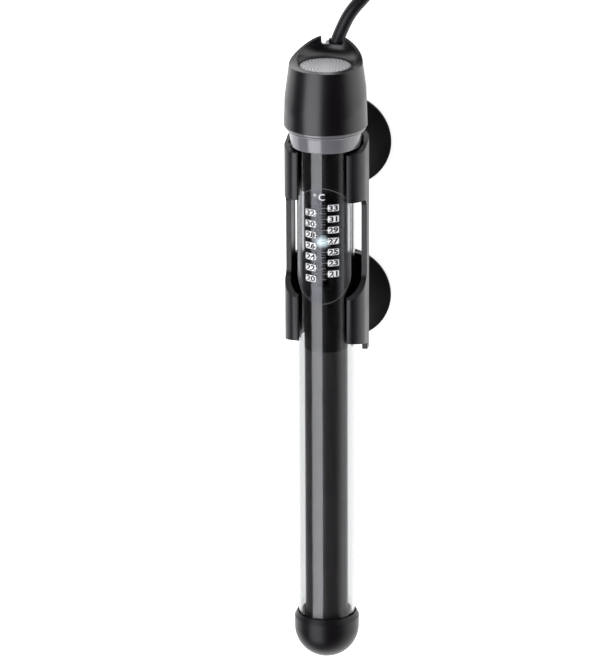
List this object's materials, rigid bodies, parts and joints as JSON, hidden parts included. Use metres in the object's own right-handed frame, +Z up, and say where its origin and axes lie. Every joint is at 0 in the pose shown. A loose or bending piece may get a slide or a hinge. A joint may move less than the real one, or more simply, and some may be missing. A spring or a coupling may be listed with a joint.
{
  "type": "submersible aquarium heater",
  "caption": "Glass tube aquarium heater with a dark head, round setting dial, printed temperature scale, clip-on holder with suction cups, rubber foot and a tied mains cord.",
  "frame": {"origin": "centre of the heater's footprint, on the plane of the suction cup rims", "axes": "+Y along the tube towards the head, +Z up, away from the suction cups and towards the temperature scale, +X to the right"},
  "size_m": [0.0493, 0.585, 0.0644],
  "materials": {
    "head_black": "moulded black plastic, half gloss",
    "collar_grey": "smooth mid grey plastic",
    "glass": "clear borosilicate glass",
    "scale_film": "clear printed film",
    "seal_rubber": "grey silicone",
    "dial_plastic": "light grey plastic",
    "dial_metal": "insert with a fine dotted pattern",
    "white_plastic": "white moulded plastic",
    "led_lens": "pale light with a domed lens",
    "steel": "drawn metal",
    "component_black": "moulded electronic part",
    "housing_black": "matt black plastic",
    "board_green": "fibreglass board",
    "wire_brown": "brown insulation",
    "wire_blue": "blue insulation",
    "core_grey": "dark brown grey coated metal",
    "mica": "mica disc",
    "ceramic": "white unglazed ceramic",
    "coil_wire": "wound resistance wire",
    "holder_black": "smooth black plastic",
    "cup_rubber": "soft black rubber",
    "foot_rubber": "soft black rubber",
    "cord_rubber": "black flexible sheath",
    "tie_plastic": "black twist tie"
  },
  "bodies": {
    "heater": {"head_shell": "head_black", "cord_gland": "cord_rubber", "collar_ring": "collar_grey", "tube_seal": "seal_rubber", "glass_tube": "glass", "scale_label": "scale_film", "seal_plug": "seal_rubber", "shaft_seal": "seal_rubber", "guide_rod_left": "steel", "guide_rod_right": "steel", "rod_bridge": "white_plastic", "setting_potentiometer": "component_black", "thermostat_housing": "housing_black", "circuit_board": "board_green", "triac": "component_black", "smoothing_capacitor": "component_black", "control_chip": "component_black", "thermistor": "component_black", "mains_wire_live": "wire_brown", "mains_wire_neutral": "wire_blue", "heater_lead_live": "steel", "heater_lead_neutral": "steel", "core_sleeve": "core_grey", "core_top_disc": "mica", "thermal_fuse": "steel", "ceramic_former": "ceramic", "heating_coil": "coil_wire", "core_end_disc": "mica", "end_cushion": "seal_rubber", "cord_lead": "cord_rubber", "cord_hank": "cord_rubber", "cord_tail": "cord_rubber", "cord_tie": "tie_plastic", "plug_body": "cord_rubber", "plug_relief": "cord_rubber", "plug_pin_left": "steel", "plug_pin_right": "steel"},
    "dial": {"dial_knob": "dial_plastic", "dial_face": "dial_metal", "dial_shaft": "white_plastic", "cam_drum": "housing_black"},
    "pointer": {"pointer_carriage": "housing_black", "pointer_led": "led_lens"},
    "holder": {"holder_frame": "holder_black"},
    "cup_upper": {"suction_cup_upper": "cup_rubber"},
    "cup_lower": {"suction_cup_lower": "cup_rubber"},
    "foot": {"rubber_foot": "foot_rubber"}
  },
  "joints": [
    {"name": "dial_turn", "type": "hinge", "parent": "heater", "child": "dial", "pos_m": [0, 0.13987, 0.045], "axis": [0, -1, 0], "range_deg": [-161.5, 138.5]},
    {"name": "pointer_travel", "type": "slide", "parent": "heater", "child": "pointer", "axis": [0, 1, 0], "range_m": [-0.0189, 0.0162]},
    {"name": "holder_slide", "type": "slide", "parent": "heater", "child": "holder", "axis": [0, -1, 0], "range_m": [0, 0.13]},
    {"name": "upper_cup_swivel", "type": "hinge", "parent": "holder", "child": "cup_upper", "pos_m": [0, 0.09358, 0.02], "axis": [0, 0, 1], "continuous": true},
    {"name": "lower_cup_swivel", "type": "hinge", "parent": "holder", "child": "cup_lower", "pos_m": [0, 0.01713, 0.02], "axis": [0, 0, 1], "continuous": true},
    {"name": "foot_pull", "type": "slide", "parent": "heater", "child": "foot", "axis": [0, -1, 0], "range_m": [0, 0.035]}
  ],
  "couplings": [
    {"joint": "pointer_travel", "follows": "dial_turn", "m_per_rad": 0.0066654}
  ]
}
